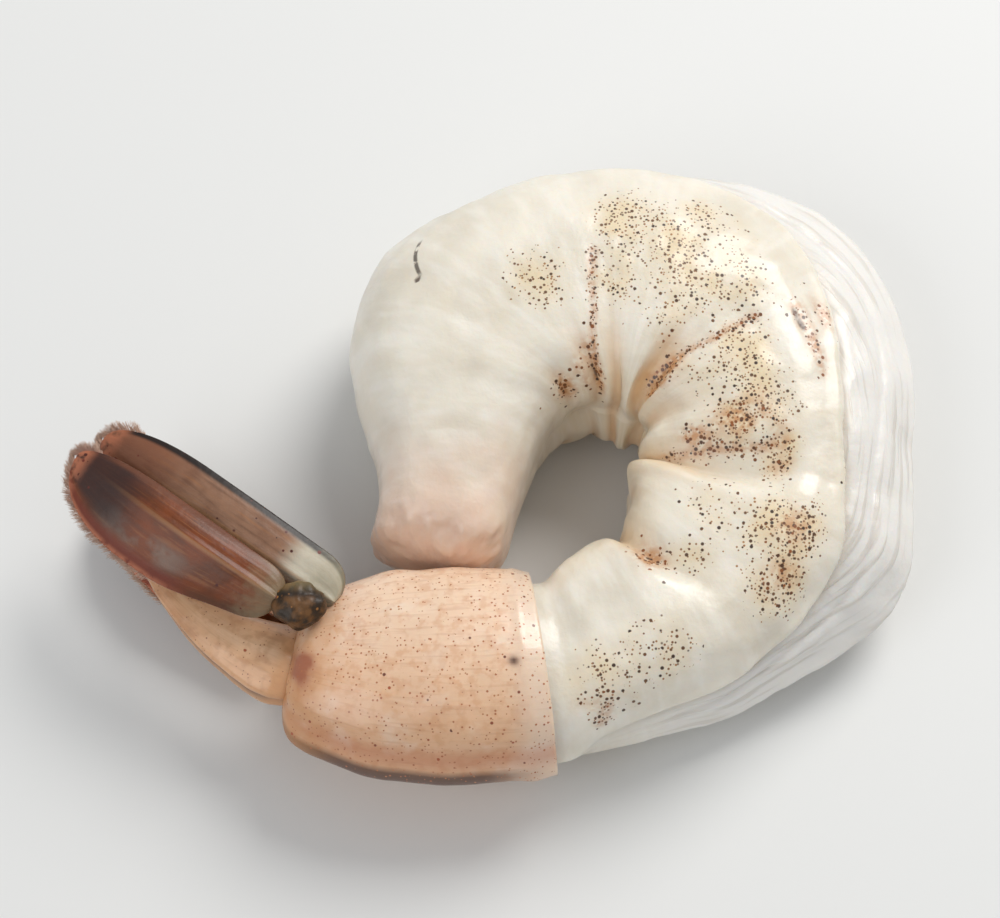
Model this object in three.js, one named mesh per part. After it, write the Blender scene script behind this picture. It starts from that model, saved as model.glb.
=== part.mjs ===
// A raw white shrimp, headless, peeled and slit along its back, with the last ring of shell and
// the tail fan left on. It lies curled on one flank.
// Millimetres, +Z up. The curl lies in the XY plane and the far flank rests on z = 0.
//
// Every piece is placed by the spine: s is the distance along it from the cut head end, the back
// is on the outside of the curl (angle 0), the upper flank is at 90 degrees, the belly at 180
// and the flank that rests on the table at 270.

import * as THREE from "three";

// ---- Driving dimensions ------------------------------------------------------------------------

// The spine bends towards the belly, stretch by stretch. Its start is where the muscle has its
// full width; the cut head end rounds off a little before it.
const SPINE_START = { x: -4.8, y: -4.4, heading: 76 };
const HEAD_TIP = -0.7;
const STRETCHES = [
  { length: 9.3, bend: -17 }, // end of the shoulder muscle
  { length: 9, bend: 41 }, // shoulder muscle
  { length: 9.5, bend: 44 }, // first ring
  { length: 9.5, bend: 42 }, // second ring
  { length: 12.5, bend: 53 }, // third ring
  { length: 13.5, bend: 49 }, // fourth ring
  { length: 16, bend: 37 }, // fifth ring
  { length: 17, bend: 18 }, // sixth ring, in its shell
];
const BEND_SOFTNESS = 3; // how far each side of a station the bends are averaged
const SPINE_STEP = 0.25;

// Half sizes of the flesh along the spine: towards the back, towards the belly and sideways.
const FLESH_SIZES = [
  { at: 0, back: 6.2, belly: 4.6, side: 6.2 },
  { at: 6, back: 5.7, belly: 5.6, side: 6.8 },
  { at: 12, back: 8.1, belly: 7.8, side: 7.6 },
  { at: 17, back: 11.1, belly: 9.2, side: 8.1 },
  { at: 23, back: 10.7, belly: 10.4, side: 8.4 },
  { at: 30, back: 10.7, belly: 11.7, side: 8.5 },
  { at: 40, back: 10.2, belly: 11.7, side: 8.4 },
  { at: 51, back: 7.2, belly: 11.7, side: 8.0 },
  { at: 57, back: 8.3, belly: 12.7, side: 7.7 },
  { at: 62, back: 7.1, belly: 11.6, side: 7.5 },
  { at: 68, back: 6.6, belly: 8.9, side: 7.2 },
  { at: 73, back: 5.9, belly: 8.0, side: 6.8 },
  { at: 78, back: 6.4, belly: 7.1, side: 5.6 },
];
const BACK_ROUNDNESS = 2.3; // 2 is an ellipse, more is squarer
const BELLY_ROUNDNESS = 2.9;
const HEAD_CAP = 4; // length over which the head end rounds off
const HEAD_CAP_ROUNDNESS = 2.8;
const FLESH_END = 93; // the flesh ends inside the shell
const TONGUE_START = 79; // from here on the flesh follows the inside of the shell
const FLAT_DEPTH = 0.45; // how much of the resting flank is pressed flat

// Folds between the muscle rings: where each crosses the flank, how far its belly end leans
// towards the tail, and how deep it is on the flank.
const FOLDS = [
  { at: 28.6, lean: 0, depth: 0.55 },
  { at: 41.5, lean: -1.2, depth: 0.65 },
  { at: 55, lean: 3, depth: 1.05 },
  { at: 65.8, lean: 3.5, depth: 0.9 },
];
const FOLD_REACH = 5; // ahead of a fold the surface sinks over this length
const FOLD_RISE = 2.2; // behind it the next ring stands up over this length
const BELLY_FOLD = 1.7; // how many times deeper a fold is at the belly
const BACK_FOLD = 0.25; // and at the back
const FOLD_LEANS = [{ at: 0, lean: 0 }, ...FOLDS, { at: 78, lean: 0 }];
const LEAN_FROM = 0.3; // share of the way to the belly where a fold starts to lean
const BELLY_FROM = 0.15; // and where it starts to deepen
const BELLY_GROOVE = { depth: 1.3, angle: 14, from: 8, full: 20 };

// The slit down the back gapes. The far half stands out as a rim, and its cut face sinks from
// there to the foot of the lip in which the near half ends.
const SLIT_FROM = -75; // angle where the far half starts to stand out
const RIM_REACH = 1.42; // share of the section's radius
const FOOT_REACH = 0.78;
const LIP_REACH = 0.96;
const LIP_WIDTH = 12; // degrees from the foot up to the lip
const LIP_FADE = 26; // degrees over which the lip turns into the flank
const RIM_EASE = 1.6; // more makes the rim sharper
const FACE_EASE = 0.8; // less makes the cut face hollower
const SLIT_GAPE = [
  { at: 0, open: 0.05, rim: -4, lip: 34 },
  { at: 22, open: 0.05, rim: -4, lip: 34 },
  { at: 29, open: 0.15, rim: -4, lip: 34 },
  { at: 37, open: 0.65, rim: 0, lip: 34 },
  { at: 41, open: 0.9, rim: 0, lip: 42 },
  { at: 45, open: 1, rim: -3, lip: 54 },
  { at: 50, open: 1, rim: -3, lip: 63 },
  { at: 54, open: 1, rim: -4, lip: 59 },
  { at: 58, open: 0.9, rim: -10, lip: 46 },
  { at: 62, open: 0.75, rim: -16, lip: 31 },
  { at: 70, open: 0.4, rim: -20, lip: 22 },
  { at: 77, open: 0.12, rim: -20, lip: 12 },
  { at: 79, open: 0, rim: -20, lip: 12 },
];

// Shell of the sixth ring.
const SHELL_SIZES = [
  { at: 79, back: 7.5, belly: 7.8, side: 6.4 },
  { at: 84, back: 7.9, belly: 8.3, side: 6.4 },
  { at: 89, back: 7.8, belly: 8.2, side: 6.0 },
  { at: 94, back: 7.0, belly: 7.1, side: 4.8 },
  { at: 98.5, back: 5.4, belly: 4.2, side: 3.1 },
];
const SHELL_ROUNDNESS = 2.1;
const SHELL_THICKNESS = 0.6;
const SHELL_FRONT = 79.4;
const SHELL_END = 98.5;
const SHELL_CAP = 2.2; // length over which its rear rounds off
const SHELL_CAP_ROUNDNESS = 3.2;
const KEEL = { height: 0.7, angle: 9 }; // angle is its half width round the section
const CLEARANCE = 0.3; // between pieces that touch

// Height of the spine above the table behind the flesh that carries it.
const TAIL_HEIGHT = 7.6;
const LIFT = { from: 66, full: 84 }; // where the spine rises to it

// Telson: the pointed middle piece of the fan.
const TELSON = {
  base: { x: -16.5, y: -13.5 },
  heading: 157,
  bend: 33,
  length: 15.2,
  depth: 3.35, // half size towards the back and the belly at the base
  side: 2.3, // and sideways
  point: 0.1, // share of the base's size that is left at the point
  baseCap: 1.6,
  baseRoundness: 2.5,
  tipCap: 1.5,
};

// Uropods: a knuckle and two blades on each side of the telson.
const KNUCKLE = { x: -15.2, y: -10.5, side: 5.0, long: 1.8, deep: 1.9, thick: 1.25 };
const UROPOD_SIDES = [
  { name: "upper", mirror: 1, heading: 144 },
  { name: "lower", mirror: -1, heading: 136 }, // the table holds this one nearer the belly
];
const BLADE_TILT = 22; // the belly edge of a blade stands this much further out
const BLADE_SPLAY = 2; // degrees by which the blades spread from the midline
const BLADES = {
  inner: { x: -17.1, y: -9.5, side: 4.9, length: 18.9, back: 4.4, belly: 1.9, rib: 0.3 },
  outer: { x: -13.9, y: -8.5, side: 3.3, length: 20.8, back: 3.1, belly: 2.9, rib: 0.25 },
};
const BACK_STEM = 0.6; // width of the stem beside the full width
const BELLY_STEM = 0.95;
const STEM_LENGTH = 0.5; // share of the length over which a blade widens
const BLADE_TIP = { length: 0.4, roundness: 2.2 }; // share of the length that rounds off
const BLADE_BASE = { length: 0.13, roundness: 2.5 };
const BLADE_THICKNESS = 0.5;
const BLADE_EDGE = 0.22; // thickness left at the edges
const BLADE_CAMBER = 0.9; // how far the middle of a blade stands above its edges
const CAMBER_START = 0.15;
const BLADE_BOW = 0.8; // how far a blade bows along its length
const RIB_WIDTH = 0.16; // share of the half width

// Facets. Of the even facet angles, those at the marks follow the slit's rim, foot and lip.
const RING_FACETS = 36;
const FACET_MARKS = { below: -90, rim: 0, foot: 40, lip: 50, above: 120 };
const FLESH_STEP = 1.15;
const CAP_STATIONS = 6;
const SHELL_STATIONS = 12;
const TELSON_FACETS = { along: 14, round: 16 };
const KNUCKLE_FACETS = { round: 14, tall: 10 };
const BLADE_FACETS = { along: 20, across: 8 };
const BLADE_CROWDING = 0.11; // how much closer together the rows lie at both ends

// ---- Small helpers -----------------------------------------------------------------------------

const radians = (degrees) => (degrees * Math.PI) / 180;
const clamp = (value, low, high) => Math.min(high, Math.max(low, value));

function smoothStep(from, to, value) {
  const t = clamp((value - from) / (to - from), 0, 1);
  return t * t * (3 - 2 * t);
}

// A smooth curve through the rows of a table, read at station s.
function along(table, key, s) {
  const last = table.length - 1;
  if (s <= table[0].at) return table[0][key];
  if (s >= table[last].at) return table[last][key];
  const i = table.findIndex((row) => row.at > s) - 1;
  const slope = (j) => {
    const before = table[Math.max(0, j - 1)];
    const after = table[Math.min(last, j + 1)];
    return (after[key] - before[key]) / (after.at - before.at);
  };
  const gap = table[i + 1].at - table[i].at;
  const t = (s - table[i].at) / gap;
  const start = table[i][key] + gap * slope(i) * t;
  const end = table[i + 1][key] - gap * slope(i + 1) * (1 - t);
  const ease = t * t * (3 - 2 * t);
  return start * (1 - ease) + end * ease;
}

// How far a rounded end has filled out at a distance from its tip, from 0 to 1.
function capShare(distance, length, roundness) {
  const t = clamp(1 - distance / length, 0, 1);
  return Math.pow(1 - Math.pow(t, roundness), 1 / roundness);
}

// ---- Spine -------------------------------------------------------------------------------------

// Heading in degrees where each stretch bends evenly.
function evenHeading(s) {
  let heading = SPINE_START.heading;
  let start = 0;
  for (const { length, bend } of STRETCHES) {
    heading -= bend * clamp((s - start) / length, 0, 1);
    start += length;
  }
  return heading;
}

function headingAt(s) {
  const before = evenHeading(s - BEND_SOFTNESS);
  const after = evenHeading(s + BEND_SOFTNESS);
  return (before + evenHeading(s) + after) / 3;
}

// The spine in even steps, worked out once and read between its points.
const startHeading = radians(SPINE_START.heading);
const tipOffset = new THREE.Vector2(Math.cos(startHeading), Math.sin(startHeading));
tipOffset.multiplyScalar(HEAD_TIP);
const spinePoints = [new THREE.Vector2(SPINE_START.x, SPINE_START.y).add(tipOffset)];
for (let s = HEAD_TIP; s < SHELL_END + 2; s += SPINE_STEP) {
  const heading = radians(headingAt(s + SPINE_STEP / 2));
  const step = new THREE.Vector2(Math.cos(heading), Math.sin(heading)).multiplyScalar(SPINE_STEP);
  spinePoints.push(spinePoints[spinePoints.length - 1].clone().add(step));
}

function spineAt(s) {
  const place = clamp((s - HEAD_TIP) / SPINE_STEP, 0, spinePoints.length - 1.001);
  const index = Math.floor(place);
  return spinePoints[index].clone().lerp(spinePoints[index + 1], place - index);
}

// Height of the spine: the resting flank is pressed into the table a little.
function heightAt(s) {
  const lying = along(FLESH_SIZES, "side", s) - FLAT_DEPTH;
  return THREE.MathUtils.lerp(lying, TAIL_HEIGHT, smoothStep(LIFT.from, LIFT.full, s));
}

// A point of the section at s: out towards the back, up towards the upper flank.
function placed(s, out, up) {
  const centre = spineAt(s);
  const heading = radians(headingAt(s));
  const x = centre.x - Math.sin(heading) * out;
  const y = centre.y + Math.cos(heading) * out;
  return new THREE.Vector3(x, y, Math.max(0, heightAt(s) + up));
}

// ---- Sections ----------------------------------------------------------------------------------

// Radius of a squarish ellipse with a deeper or shallower back and belly.
function roundRadius({ back, belly, side }, backRoundness, bellyRoundness, angle) {
  const isBack = Math.cos(angle) > 0;
  const roundness = isBack ? backRoundness : bellyRoundness;
  const out = Math.abs(Math.cos(angle)) / (isBack ? back : belly);
  const up = Math.abs(Math.sin(angle)) / side;
  return Math.pow(Math.pow(out, roundness) + Math.pow(up, roundness), -1 / roundness);
}

// Signed angle from the back, -180 to 180 degrees.
function fromBack(angle) {
  const degrees = THREE.MathUtils.radToDeg(angle);
  return degrees > 180 ? degrees - 360 : degrees;
}

// The share by which the slit raises or sinks the section at an angle.
function slitShare(s, angle) {
  const { lerp } = THREE.MathUtils;
  const degrees = fromBack(angle);
  const rim = along(SLIT_GAPE, "rim", s);
  const lip = along(SLIT_GAPE, "lip", s);
  const foot = lip - LIP_WIDTH;
  let reach = 1;
  if (degrees <= rim) {
    reach = 1 + (RIM_REACH - 1) * Math.pow(smoothStep(SLIT_FROM, rim, degrees), RIM_EASE);
  } else if (degrees <= foot) {
    const inward = (degrees - rim) / (foot - rim);
    reach = lerp(RIM_REACH, FOOT_REACH, Math.pow(inward, FACE_EASE));
  } else if (degrees <= lip) {
    reach = lerp(FOOT_REACH, LIP_REACH, smoothStep(foot, lip, degrees));
  } else {
    reach = lerp(LIP_REACH, 1, smoothStep(lip, lip + LIP_FADE, degrees));
  }
  return 1 + (reach - 1) * along(SLIT_GAPE, "open", s);
}

// The angle of an even facet once the facets are drawn towards the edges of the slit.
function slitAngle(row, angle) {
  const degrees = fromBack(angle);
  const lip = along(SLIT_GAPE, "lip", row);
  const edges = {
    below: FACET_MARKS.below,
    rim: along(SLIT_GAPE, "rim", row),
    foot: lip - LIP_WIDTH,
    lip,
    above: FACET_MARKS.above,
  };
  const names = Object.keys(FACET_MARKS);
  for (let i = 1; i < names.length; i++) {
    const [from, to] = [FACET_MARKS[names[i - 1]], FACET_MARKS[names[i]]];
    if (degrees >= from && degrees < to) {
      return radians(
        THREE.MathUtils.mapLinear(degrees, from, to, edges[names[i - 1]], edges[names[i]]),
      );
    }
  }
  return angle;
}

// The share of an angle that lies towards the belly, from 0 at the back to 1.
const bellyShare = (angle) => (1 - Math.cos(angle)) / 2;

// The station that a facet row reaches at an angle, so that the rows run along the folds.
function leaned(row, angle) {
  return row + along(FOLD_LEANS, "lean", row) * smoothStep(LEAN_FROM, 1, bellyShare(angle));
}

// How deep the folds sink the surface. Behind a fold the next ring stands up steeply.
function foldDepth(row, angle) {
  const strength = THREE.MathUtils.lerp(
    BACK_FOLD,
    BELLY_FOLD,
    smoothStep(BELLY_FROM, 1, bellyShare(angle)),
  );
  let depth = 0;
  for (const fold of FOLDS) {
    const distance = row - fold.at;
    const slope = distance > 0 ? distance / FOLD_RISE : -distance / FOLD_REACH;
    depth = Math.max(depth, fold.depth * strength * Math.pow(1 - Math.min(1, slope), 2));
  }
  return depth;
}

function shellRadius(s, angle) {
  const sizes = {
    back: along(SHELL_SIZES, "back", s),
    belly: along(SHELL_SIZES, "belly", s),
    side: along(SHELL_SIZES, "side", s),
  };
  const keel = KEEL.height * Math.exp(-Math.pow(fromBack(angle) / KEEL.angle, 2));
  return roundRadius(sizes, SHELL_ROUNDNESS, SHELL_ROUNDNESS, angle) + keel;
}

// The shell's section moved inwards by an even distance.
function insideShell(s, angle, inset) {
  const nudge = radians(1);
  const rim = (a) => {
    const radius = shellRadius(s, a);
    return new THREE.Vector2(radius * Math.cos(a), radius * Math.sin(a));
  };
  const edge = rim(angle + nudge).sub(rim(angle - nudge)).normalize();
  return rim(angle).add(new THREE.Vector2(-edge.y, edge.x).multiplyScalar(inset));
}

function fleshSection(row, angle) {
  const s = leaned(row, angle);
  const sizes = {
    back: along(FLESH_SIZES, "back", s),
    belly: along(FLESH_SIZES, "belly", s),
    side: along(FLESH_SIZES, "side", s),
  };
  const offBelly = 180 - Math.abs(fromBack(angle));
  const groove = BELLY_GROOVE.depth * Math.exp(-Math.pow(offBelly / BELLY_GROOVE.angle, 2));
  let radius = roundRadius(sizes, BACK_ROUNDNESS, BELLY_ROUNDNESS, angle) * slitShare(s, angle);
  radius -= foldDepth(row, angle) + groove * smoothStep(BELLY_GROOVE.from, BELLY_GROOVE.full, s);
  const free = new THREE.Vector2(Math.cos(angle), Math.sin(angle)).multiplyScalar(radius);
  const tucked = insideShell(s, angle, SHELL_THICKNESS + CLEARANCE);
  return free.lerp(tucked, smoothStep(TONGUE_START - 3, TONGUE_START, s));
}

// ---- Meshes ------------------------------------------------------------------------------------

// A closed skin over rings of points that run the same way round, with a point at each end.
function skinned(start, rings, end) {
  const count = rings[0].length;
  const points = [start, ...rings.flat(), end];
  const first = 1;
  const final = points.length - 1;
  const faces = [];
  for (let i = 0; i < rings.length - 1; i++) {
    for (let j = 0; j < count; j++) {
      const a = first + i * count + j;
      const b = first + i * count + ((j + 1) % count);
      faces.push(a, b, a + count, b, b + count, a + count);
    }
  }
  const lastRing = first + (rings.length - 1) * count;
  for (let j = 0; j < count; j++) {
    const next = (j + 1) % count;
    faces.push(0, first + next, first + j);
    faces.push(final, lastRing + j, lastRing + next);
  }
  const geometry = new THREE.BufferGeometry().setFromPoints(points);
  geometry.setIndex(faces);
  geometry.computeVertexNormals();
  return geometry;
}

function ring(pointAt) {
  const facets = Array.from({ length: RING_FACETS }, (_, j) => (2 * Math.PI * j) / RING_FACETS);
  return facets.map(pointAt);
}

// Stations of a rounded end, closer together near its tip.
function capStations(tip, length, towards) {
  const stations = [];
  for (let i = 1; i <= CAP_STATIONS; i++) {
    stations.push(tip + towards * length * (1 - Math.cos(radians((90 * i) / CAP_STATIONS))));
  }
  return towards > 0 ? stations : stations.reverse();
}

// Facet rows of the flesh: even steps from fold to fold, so that a row lies in each fold.
function fleshRows() {
  const rows = capStations(HEAD_TIP, HEAD_CAP, 1);
  const marks = [HEAD_TIP + HEAD_CAP, ...FOLDS.map((fold) => fold.at), TONGUE_START];
  for (let i = 1; i < marks.length; i++) {
    const steps = Math.round((marks[i] - marks[i - 1]) / FLESH_STEP);
    for (let j = 1; j <= steps; j++) {
      rows.push(THREE.MathUtils.lerp(marks[i - 1], marks[i], j / steps));
    }
  }
  const tongueSteps = Math.round((FLESH_END - SHELL_CAP - TONGUE_START) / (2 * FLESH_STEP));
  for (let j = 1; j < tongueSteps; j++) {
    rows.push(THREE.MathUtils.lerp(TONGUE_START, FLESH_END - SHELL_CAP, j / tongueSteps));
  }
  return [...rows, ...capStations(FLESH_END, SHELL_CAP, -1)];
}

function fleshGeometry() {
  const rings = fleshRows().map((row) => {
    const head = capShare(row - HEAD_TIP, HEAD_CAP, HEAD_CAP_ROUNDNESS);
    const tail = capShare(FLESH_END - row, SHELL_CAP, SHELL_CAP_ROUNDNESS);
    return ring((evenAngle) => {
      const angle = slitAngle(row, evenAngle);
      const { x, y } = fleshSection(row, angle).multiplyScalar(head * tail);
      return placed(leaned(row, angle), x, y);
    });
  });
  return skinned(placed(HEAD_TIP, 0, 0), rings, placed(FLESH_END, 0, 0));
}

// The shell is a cup: out along its outside to the rear, and back along its inside.
function shellGeometry() {
  const cavityEnd = FLESH_END + CLEARANCE;
  const outerStations = [];
  const innerStations = [];
  for (let i = 0; i < SHELL_STATIONS; i++) {
    const t = i / SHELL_STATIONS;
    outerStations.push(SHELL_FRONT + (SHELL_END - SHELL_CAP - SHELL_FRONT) * t);
    innerStations.push(SHELL_FRONT + (cavityEnd - SHELL_CAP - SHELL_FRONT) * t);
  }
  outerStations.push(...capStations(SHELL_END, SHELL_CAP, -1));
  innerStations.push(...capStations(cavityEnd, SHELL_CAP, -1));
  const outside = outerStations.map((s) => {
    const share = capShare(SHELL_END - s, SHELL_CAP, SHELL_CAP_ROUNDNESS);
    return ring((angle) => {
      const radius = shellRadius(s, angle) * share;
      return placed(s, radius * Math.cos(angle), radius * Math.sin(angle));
    });
  });
  const inside = innerStations.map((s) => {
    const share = capShare(cavityEnd - s, SHELL_CAP, SHELL_CAP_ROUNDNESS);
    return ring((angle) => {
      const { x, y } = insideShell(s, angle, SHELL_THICKNESS).multiplyScalar(share);
      return placed(s, x, y);
    });
  });
  return skinned(placed(cavityEnd, 0, 0), [...inside.reverse(), ...outside], placed(SHELL_END, 0, 0));
}

// The telson bends on round the curl and tapers to a blunt point.
function telsonGeometry() {
  const centre = new THREE.Vector2(TELSON.base.x, TELSON.base.y);
  const start = new THREE.Vector3(centre.x, centre.y, TAIL_HEIGHT);
  const step = TELSON.length / TELSON_FACETS.along;
  const reach = TELSON.length + TELSON.tipCap / 4; // the last ring is not quite a point
  const rings = [];
  let heading = radians(TELSON.heading);
  for (let i = 1; i <= TELSON_FACETS.along; i++) {
    heading -= radians(TELSON.bend) / TELSON_FACETS.along;
    centre.add(new THREE.Vector2(step * Math.cos(heading), step * Math.sin(heading)));
    const taper = THREE.MathUtils.lerp(1, TELSON.point, i / TELSON_FACETS.along);
    const base = capShare(step * i, TELSON.baseCap, TELSON.baseRoundness);
    const tip = capShare(reach - step * i, TELSON.tipCap, 2);
    const size = taper * base * tip;
    const section = Array.from({ length: TELSON_FACETS.round }, (_, j) => {
      const angle = (2 * Math.PI * j) / TELSON_FACETS.round;
      const out = TELSON.depth * size * Math.cos(angle);
      const x = centre.x - Math.sin(heading) * out;
      const y = centre.y + Math.cos(heading) * out;
      return new THREE.Vector3(x, y, TAIL_HEIGHT + TELSON.side * size * Math.sin(angle));
    });
    rings.push(section);
  }
  centre.add(new THREE.Vector2(Math.cos(heading), Math.sin(heading)).multiplyScalar(reach - TELSON.length));
  return skinned(start, rings, new THREE.Vector3(centre.x, centre.y, TAIL_HEIGHT));
}

// How far a blade has widened at a share of its length: a stem, full width, and rounded ends.
function bladeSpread(share, stem) {
  const spread = THREE.MathUtils.lerp(stem, 1, smoothStep(0, STEM_LENGTH, share));
  const base = capShare(share, BLADE_BASE.length, BLADE_BASE.roundness);
  return spread * base * capShare(1 - share, BLADE_TIP.length, BLADE_TIP.roundness);
}

// A thin cambered leaf with a midrib. It starts at the origin and runs along +X, its back edge
// is at +Y and its outer face is up.
function bladeGeometry({ length, back, belly, rib }) {
  const { along: rows, across } = BLADE_FACETS;
  const rings = [];
  for (let i = 1; i < rows; i++) {
    const share = i / rows - BLADE_CROWDING * Math.sin((2 * Math.PI * i) / rows);
    const backSpread = bladeSpread(share, BACK_STEM);
    const bellySpread = bladeSpread(share, BELLY_STEM);
    const upper = [];
    const lower = [];
    for (let j = 0; j <= across; j++) {
      const side = (2 * j) / across - 1;
      const edge = side > 0 ? back * backSpread : belly * bellySpread;
      const y = edge * side;
      const body = 1 - Math.pow(Math.abs(side), 3);
      const half = (BLADE_EDGE + (BLADE_THICKNESS - BLADE_EDGE) * body) / 2;
      const ribHeight = rib * Math.exp(-Math.pow(side / RIB_WIDTH, 2)) * (1 - share);
      const arch = Math.sin(Math.PI * THREE.MathUtils.lerp(CAMBER_START, 1, share));
      const camber = BLADE_CAMBER * (1 - side * side) * arch;
      const middle = camber + BLADE_BOW * Math.sin(Math.PI * share);
      upper.push(new THREE.Vector3(length * share, y, middle + half + ribHeight));
      lower.push(new THREE.Vector3(length * share, y, middle - half));
    }
    rings.push([...lower, ...upper.reverse()]);
  }
  const start = new THREE.Vector3(0, 0, 0);
  const end = new THREE.Vector3(length, 0, 0);
  return skinned(start, rings, end);
}

// ---- Assembly ----------------------------------------------------------------------------------

const flesh = new THREE.MeshStandardMaterial({ color: 0xece5d6, roughness: 0.3 });
const shell = new THREE.MeshStandardMaterial({ color: 0xe6b896, roughness: 0.35 });
const telsonShell = new THREE.MeshStandardMaterial({ color: 0xc6a686, roughness: 0.35 });
const knuckleShell = new THREE.MeshStandardMaterial({ color: 0x5f4931, roughness: 0.4 });
const bladeShell = new THREE.MeshStandardMaterial({ color: 0x83543a, roughness: 0.3 });

const shrimp = new THREE.Group();

function add(name, geometry, material) {
  const mesh = new THREE.Mesh(geometry, material);
  mesh.name = name;
  shrimp.add(mesh);
  return mesh;
}

add("flesh", fleshGeometry(), flesh);
add("tail_shell", shellGeometry(), shell);
add("telson", telsonGeometry(), telsonShell);

// The upper uropod and its mirror image underneath.
for (const { name, mirror, heading } of UROPOD_SIDES) {
  const sphere = new THREE.SphereGeometry(1, KNUCKLE_FACETS.round, KNUCKLE_FACETS.tall);
  sphere.scale(KNUCKLE.long, KNUCKLE.deep, KNUCKLE.thick);
  const knuckle = add("uropod_base_" + name, sphere, knuckleShell);
  knuckle.position.set(KNUCKLE.x, KNUCKLE.y, TAIL_HEIGHT + mirror * KNUCKLE.side);
  for (const [kind, blade] of Object.entries(BLADES)) {
    const mesh = add("uropod_" + kind + "_" + name, bladeGeometry(blade), bladeShell);
    mesh.position.set(blade.x, blade.y, TAIL_HEIGHT + mirror * blade.side);
    mesh.rotation.order = "ZYX";
    mesh.rotation.z = radians(heading);
    mesh.rotation.y = -radians(BLADE_SPLAY) * mirror;
    mesh.rotation.x = -radians(BLADE_TILT) * mirror;
    mesh.scale.z = mirror;
  }
}

// The part's origin is under the middle of its bounding box.
const box = new THREE.Box3().setFromObject(shrimp, true);
const middle = box.getCenter(new THREE.Vector3());
for (const mesh of shrimp.children) {
  mesh.position.x -= middle.x;
  mesh.position.y -= middle.y;
}

export default shrimp;
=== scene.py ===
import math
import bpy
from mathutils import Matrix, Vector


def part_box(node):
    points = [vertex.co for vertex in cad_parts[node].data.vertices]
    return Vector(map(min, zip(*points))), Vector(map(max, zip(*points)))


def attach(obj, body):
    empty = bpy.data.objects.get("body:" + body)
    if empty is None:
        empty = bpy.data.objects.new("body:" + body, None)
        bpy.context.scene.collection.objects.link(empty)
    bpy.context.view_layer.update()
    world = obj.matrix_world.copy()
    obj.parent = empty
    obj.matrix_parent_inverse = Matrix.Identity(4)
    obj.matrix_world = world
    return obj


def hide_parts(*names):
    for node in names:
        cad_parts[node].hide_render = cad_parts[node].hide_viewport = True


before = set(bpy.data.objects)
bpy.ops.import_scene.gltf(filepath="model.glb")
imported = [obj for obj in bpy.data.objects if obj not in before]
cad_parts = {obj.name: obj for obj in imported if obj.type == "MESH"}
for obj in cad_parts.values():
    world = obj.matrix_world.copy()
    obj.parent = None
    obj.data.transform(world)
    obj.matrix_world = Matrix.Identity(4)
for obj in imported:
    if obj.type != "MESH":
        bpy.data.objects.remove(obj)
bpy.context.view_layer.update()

# A raw white shrimp, headless, peeled and slit along its back, with the last ring of shell and
# the tail fan left on. It lies curled on one flank.
#
# Shapes are worked out in millimetres and laid on the CAD solids. Every piece is placed by the
# spine: s is the distance along it from the cut head end, the back is on the outside of the curl
# (angle 0), the upper flank is at 90 degrees, the belly at 180 and the resting flank at 270.

from types import SimpleNamespace

import bpy
import numpy as np
from mathutils import Vector

MM = 0.001


def table(keys, rows):
    return dict(zip(keys.split(), np.array(rows, float).T))


# ---- Driving dimensions, millimetres and degrees -----------------------------------------------

SPINE_START = {"x": -4.8, "y": -4.4, "heading": 76}
HEAD_TIP = -0.7
STRETCHES = [  # length and bend towards the belly
    (9.3, -17), (9, 41), (9.5, 44), (9.5, 42), (12.5, 53), (13.5, 49), (16, 37), (17, 18),
]
BEND_SOFTNESS = 3
SPINE_STEP = 0.25

FLESH_SIZES = table("at back belly side", [
    (0, 6.2, 4.6, 6.2), (6, 5.7, 5.6, 6.8), (12, 8.1, 7.8, 7.6), (17, 11.1, 9.2, 8.1),
    (23, 10.7, 10.4, 8.4), (30, 10.7, 11.7, 8.5), (40, 10.2, 11.7, 8.4), (51, 7.2, 11.7, 8.0),
    (57, 8.3, 12.7, 7.7), (62, 7.1, 11.6, 7.5), (68, 6.6, 8.9, 7.2), (73, 5.9, 8.0, 6.8),
    (78, 6.4, 7.1, 5.6),
])
BACK_ROUNDNESS = 2.3
BELLY_ROUNDNESS = 2.9
HEAD_CAP = 4
HEAD_CAP_ROUNDNESS = 2.8
FLESH_END = 93
TONGUE_START = 79
FLAT_DEPTH = 0.45

FOLDS = table("at lean depth soft", [
    (28.6, 0, 0.55, 0.5), (41.5, -1.2, 0.65, 0.3), (55, 3, 1.05, 0.12), (65.8, 3.5, 0.9, 0.15),
])
LEANS = table("at lean", [(0, 0), *zip(FOLDS["at"], FOLDS["lean"]), (78, 0)])
FOLD_REACH = 5
FOLD_RISE = 2.2
BELLY_FOLD = 1.7
BACK_FOLD = 0.25
LEAN_FROM = 0.3
BELLY_FROM = 0.15
BELLY_GROOVE = {"depth": 1.3, "angle": 14, "from": 8, "full": 20}

SLIT_FROM = -75
RIM_REACH = 1.42
FOOT_REACH = 0.78
LIP_REACH = 0.96
LIP_WIDTH = 12
LIP_FADE = 26
RIM_EASE = 1.6
FACE_EASE = 0.8
SLIT_GAPE = table("at open rim lip", [
    (0, 0.05, -4, 34), (22, 0.05, -4, 34), (29, 0.15, -4, 34), (37, 0.65, 0, 34),
    (41, 0.9, 0, 42), (45, 1, -3, 54), (50, 1, -3, 63), (54, 1, -4, 59), (58, 0.9, -10, 46),
    (62, 0.75, -16, 31), (70, 0.4, -20, 22), (77, 0.12, -20, 12), (79, 0, -20, 12),
])

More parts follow.
